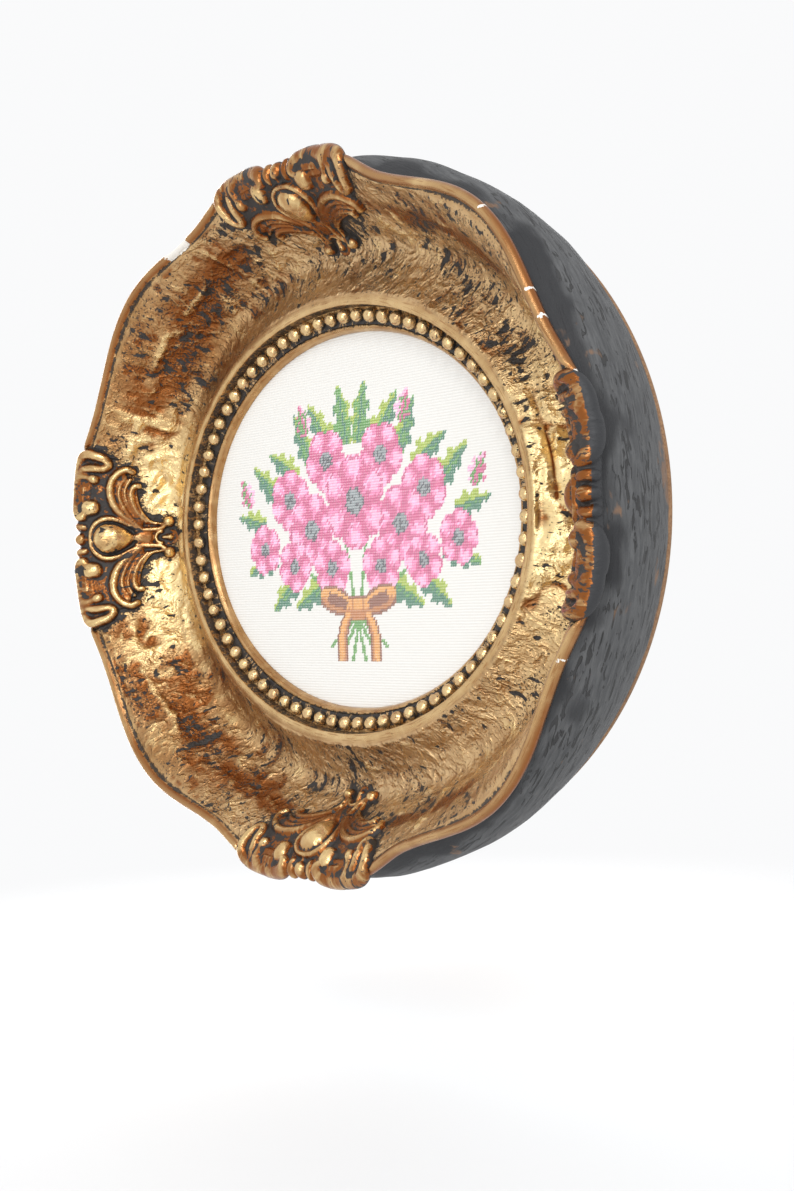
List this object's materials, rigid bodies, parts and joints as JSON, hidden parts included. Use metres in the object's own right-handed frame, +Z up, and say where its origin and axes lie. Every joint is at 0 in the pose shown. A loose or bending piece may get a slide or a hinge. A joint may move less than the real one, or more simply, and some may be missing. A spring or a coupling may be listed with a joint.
{
  "type": "framed needlepoint picture with its oval gilt frame",
  "caption": "Oval needlepoint canvas with a posy of pink flowers, in a deep scooped and scalloped antique gilt frame with a bead run and leaf ornaments, hung on a wall.",
  "frame": {"origin": "middle of the backing board's rear face, on the wall plane", "axes": "+Z up the wall, +X to the right as the picture is looked at, +Y into the wall, so the picture faces -Y"},
  "size_m": [0.4174, 0.0648, 0.365],
  "materials": {
    "gilt_frame": "antique gold over a cast composition face, dark patina in the hollows, slate black paint on the side wall",
    "gilt_beads": "antique gold with near black patina between the balls",
    "gilt_ornament": "burnished antique gold with near black patina in the hollows",
    "needlework": "wool stitches in pink, green and ochre on an off-white ribbed canvas",
    "backing_board": "matte brown pressed board"
  },
  "bodies": {
    "root": {"frame_body": "gilt_frame", "bead_run": "gilt_beads", "cartouche_top": "gilt_ornament", "cartouche_right": "gilt_ornament", "cartouche_bottom": "gilt_ornament", "cartouche_left": "gilt_ornament", "needlework": "needlework", "backing_board": "backing_board"}
  },
  "joints": []
}
